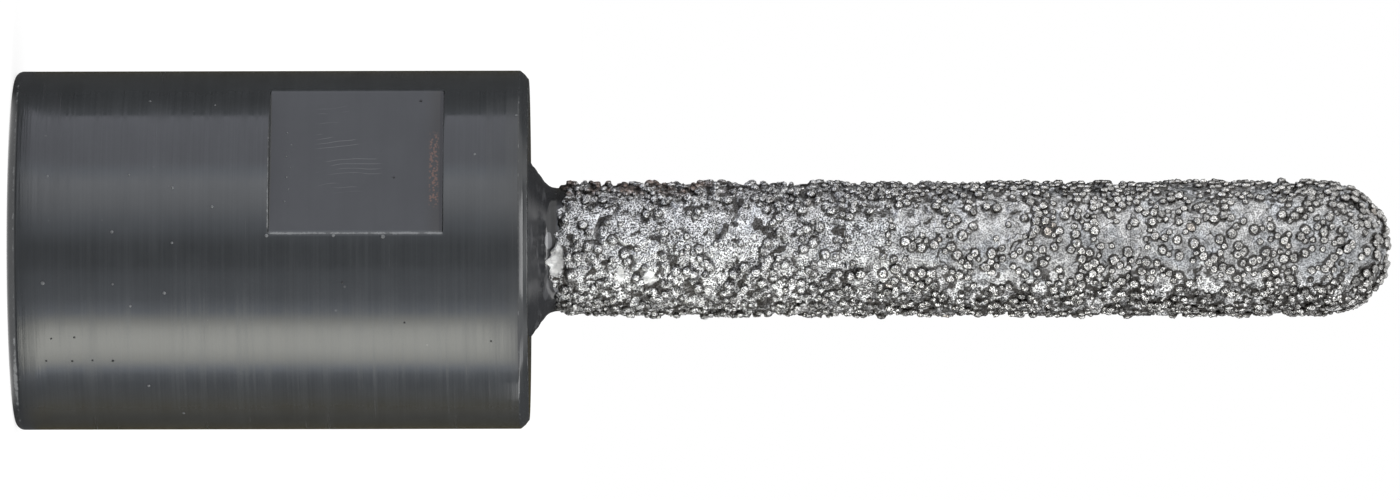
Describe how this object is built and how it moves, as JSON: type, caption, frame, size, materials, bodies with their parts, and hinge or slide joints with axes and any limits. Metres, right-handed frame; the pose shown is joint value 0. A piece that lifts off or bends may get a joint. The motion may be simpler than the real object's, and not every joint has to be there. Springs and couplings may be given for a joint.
{
  "type": "diamond milling bit",
  "caption": "Diamond milling bit: a round-nosed finger coated with brazed diamond grit on a round steel head with a spindle thread and wrench flats.",
  "frame": {"origin": "centre of the head's rear face, which the bit stands on", "axes": "+Z along the spindle axis, from the rear face towards the finger's tip; the two wrench flats face -Y and +Y"},
  "size_m": [0.025, 0.025, 0.096],
  "materials": {
    "charcoal_paint": "satin",
    "brazed_grit": "satin"
  },
  "bodies": {
    "root": {"steel_body": "charcoal_paint", "diamond_coating": "brazed_grit"}
  },
  "joints": []
}
